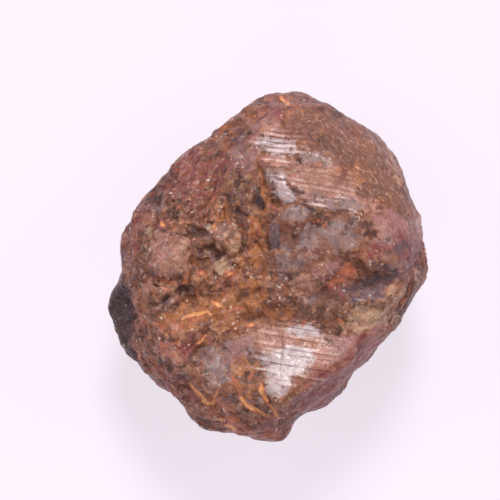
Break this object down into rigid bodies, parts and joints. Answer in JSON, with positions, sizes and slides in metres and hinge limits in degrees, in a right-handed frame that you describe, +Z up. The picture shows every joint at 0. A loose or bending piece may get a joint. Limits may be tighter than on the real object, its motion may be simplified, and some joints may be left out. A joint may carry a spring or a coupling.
{
  "type": "rough star ruby stone",
  "caption": "Rough, weathered lump of ruby corundum with striated parting faces and a pitted skin, lying flat.",
  "frame": {"origin": "on the flat face the stone lies on, under the middle of the stone", "axes": "+Z up, out of the best side; +Y along the long way, from the narrow lower end to the crown face; +X to the right"},
  "size_m": [0.028, 0.0308, 0.0189],
  "materials": {
    "ruby_skin": "weathered, with satin striated faces"
  },
  "bodies": {
    "root": {"rough_ruby": "ruby_skin"}
  },
  "joints": []
}
